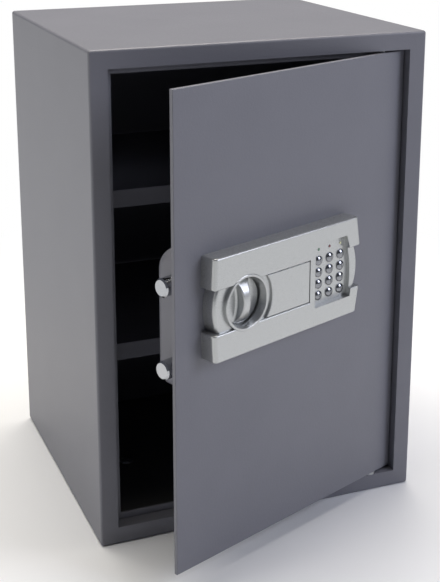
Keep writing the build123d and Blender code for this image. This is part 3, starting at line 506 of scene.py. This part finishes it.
def sign_outline(sign):
    """A sign's points in millimetres and fine triangles, centred, its longer side sign_reach."""
    text = bpy.data.curves.new("sign", "FONT")
    text.body = sign
    holder = bpy.data.objects.new("sign", text)
    bpy.context.scene.collection.objects.link(holder)
    bpy.context.view_layer.update()
    ready = holder.evaluated_get(bpy.context.evaluated_depsgraph_get())
    flat = bpy.data.meshes.new_from_object(ready)
    work = bmesh.new()
    work.from_mesh(flat)
    bmesh.ops.triangulate(work, faces=work.faces)
    bmesh.ops.subdivide_edges(work, edges=work.edges, cuts=edge_cuts, use_grid_fill=True)
    bmesh.ops.triangulate(work, faces=work.faces)
    work.verts.index_update()
    points = np.array([vertex.co for vertex in work.verts])
    faces = np.array([[vertex.index for vertex in face.verts] for face in work.faces])
    work.free()
    bpy.data.objects.remove(holder)
    bpy.data.meshes.remove(flat)
    low, high = points.min(0), points.max(0)
    return (points - (low + high) / 2) * sign_reach / (high - low).max(), faces


for key_name, sign in signs.items():
    centre, _, crown, _, dome = key_shape(f"key_{key_name}")
    flat, faces = sign_outline(sign)
    lift = crown - dome + np.sqrt(dome**2 - flat[:, 0] ** 2 - flat[:, 1] ** 2) + ink_thickness
    print_points = on_door(centre[0] - flat[:, 0], centre[1] + flat[:, 1], lift)
    ink = mesh_piece(f"sign_{key_name}", print_points, faces, digit_ink)
    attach(ink, f"keytop_{key_name}")
print("signs printed:", "".join(signs.values()))

# %% [markdown]
# ## The camera
#
# The picture was taken from the front left, a little above the safe's top, with a long lens. The
# place and the turn come from fitting the safe's corners to the picture. The picture's centre
# lies below the lens's axis, which keeps the uprights nearly upright, and a small downward shift
# gives that.

# %% Camera
bpy.context.scene.view_settings.view_transform = "Standard"
camera_place = (-0.464, -1.191, 0.668)
camera_turn = radians(21.9)
camera_tilt = radians(-14.8)
camera_lens = 74.5
camera_sensor = 36
camera_drop = 0.2

camera_data = bpy.data.cameras.new("front_left_camera")
camera_data.lens = camera_lens
camera_data.sensor_width = camera_sensor
camera_data.shift_y = -camera_drop
camera = bpy.data.objects.new("front_left_camera", camera_data)
camera.location = camera_place
camera.rotation_euler = (pi / 2 + camera_tilt, 0, -camera_turn)
bpy.context.scene.collection.objects.link(camera)
bpy.context.scene.camera = camera
print("camera at", camera_place)

# %% [markdown]
# ## The floor and the white surroundings
#
# The safe stands on a plain white sweep. The floor keeps the safe's shadow close by and turns to
# the plain white of the surroundings further out, by distance from the safe and not from the
# camera, so it has no edge from any side. Mirrors see that far white a little dimmed. The world
# is white to the camera, a middle grey to mirrors, and only a faint cool grey to everything that
# it lights, so the inside of the cabinet stays dark.

# %% Floor and world
floor_reach = 12.0
floor_drop = 0.2 * mm
shadow_reach = 0.36
white_from = 0.9
mirrored_white = 0.85
surround_strength = 0.06


def maths(tree, operation, first, second):
    """The result of a sum on two values or links."""
    return add_node(tree, "ShaderNodeMath", {0: first, 1: second}, operation=operation).outputs[0]


def mix_shaders(tree, amount, first, second):
    """The first shader, or the second where the amount is one."""
    return add_node(tree, "ShaderNodeMixShader", {0: amount, 1: first, 2: second}).outputs[0]


def glow(tree, kind, colour, strength=1.0):
    """An even light of its own: an emission for the floor or a background for the world."""
    return add_node(tree, kind, {"Color": colour, "Strength": strength}).outputs[0]


def ray_kinds(tree):
    """One for rays straight from the camera or through glass, and one for rays off a mirror."""
    rays = add_node(tree, "ShaderNodeLightPath").outputs
    straight = maths(tree, "MAXIMUM", rays["Is Camera Ray"], rays["Is Transmission Ray"])
    return straight, rays["Is Glossy Ray"]


pure_white = (1, 1, 1, 1)
floor_material, tree, shader, place = start_material("white_sweep", Roughness=0.9)
shader.inputs["Base Color"].default_value = linear_colour("#e9ebf0")
distance = add_node(tree, "ShaderNodeVectorMath", {0: place}, operation="LENGTH")
fade = add_node(
    tree,
    "ShaderNodeMapRange",
    {"Value": distance.outputs["Value"], "From Min": shadow_reach, "From Max": white_from},
    interpolation_type="SMOOTHSTEP",
).outputs["Result"]
straight, mirrored = ray_kinds(tree)
seen = maths(tree, "MAXIMUM", straight, maths(tree, "MULTIPLY", mirrored, mirrored_white))
amount = maths(tree, "MULTIPLY", fade, seen)
white = glow(tree, "ShaderNodeEmission", pure_white)
surface = mix_shaders(tree, amount, shader.outputs[0], white)
tree.links.new(surface, tree.nodes["Material Output"].inputs["Surface"])
floor_corners = np.array([[-1, -1], [1, -1], [1, 1], [-1, 1]]) * floor_reach
floor_points = np.column_stack([floor_corners, np.full(4, -floor_drop)])
floor = mesh_piece("white_sweep", floor_points, [[0, 1, 2, 3]], floor_material, smooth=False)

world = bpy.data.worlds.new("studio")
bpy.context.scene.world = world
world.use_nodes = True
tree = world.node_tree
tree.nodes.clear()
straight, mirrored = ray_kinds(tree)
background = "ShaderNodeBackground"
surround = glow(tree, background, linear_colour("#c9ccd6"), surround_strength)
mirrored_grey = glow(tree, background, linear_colour("#62646b"))
plain_white = glow(tree, background, pure_white)
indirect = mix_shaders(tree, mirrored, surround, mirrored_grey)
add_node(
    tree, "ShaderNodeOutputWorld", {"Surface": mix_shaders(tree, straight, indirect, plain_white)}
)
print("floor and world ready")

# %% [markdown]
# ## Three soft lights
#
# A big soft light hangs overhead and makes the top the brightest face. One at the left lights
# that side from beside the mouth, so the inside stays dark. One at the front right reaches the
# open door, which shades the frame's left post from it.

# %% Lights
def soft_light(name, place, aim, size, power, colour):
    """A rectangular area light at a place, facing a point. Metres and watts."""
    light = bpy.data.lights.new(name, "AREA")
    light.shape = "RECTANGLE"
    light.size, light.size_y = size
    light.energy = power
    light.color = linear_colour(colour)[:3]
    lamp = bpy.data.objects.new(name, light)
    lamp.location = place
    lamp.rotation_euler = (Vector(aim) - Vector(place)).to_track_quat("-Z", "Y").to_euler()
    bpy.context.scene.collection.objects.link(lamp)


soft_light("overhead_light", place=(0.0, 0.4, 2.2), aim=(0.0, 0.1, 0.4),
           size=(2.0, 1.8), power=76, colour="#fff9ee")
soft_light("left_light", place=(-2.2, 0.0, 0.8), aim=(0.0, 0.0, 0.25),
           size=(1.0, 1.4), power=13, colour="#fffdf8")
soft_light("right_front_light", place=(1.6, -1.5, 1.3), aim=(0.0, -0.2, 0.1),
           size=(1.2, 1.2), power=28, colour="#f0f2ff")
print("lights ready")
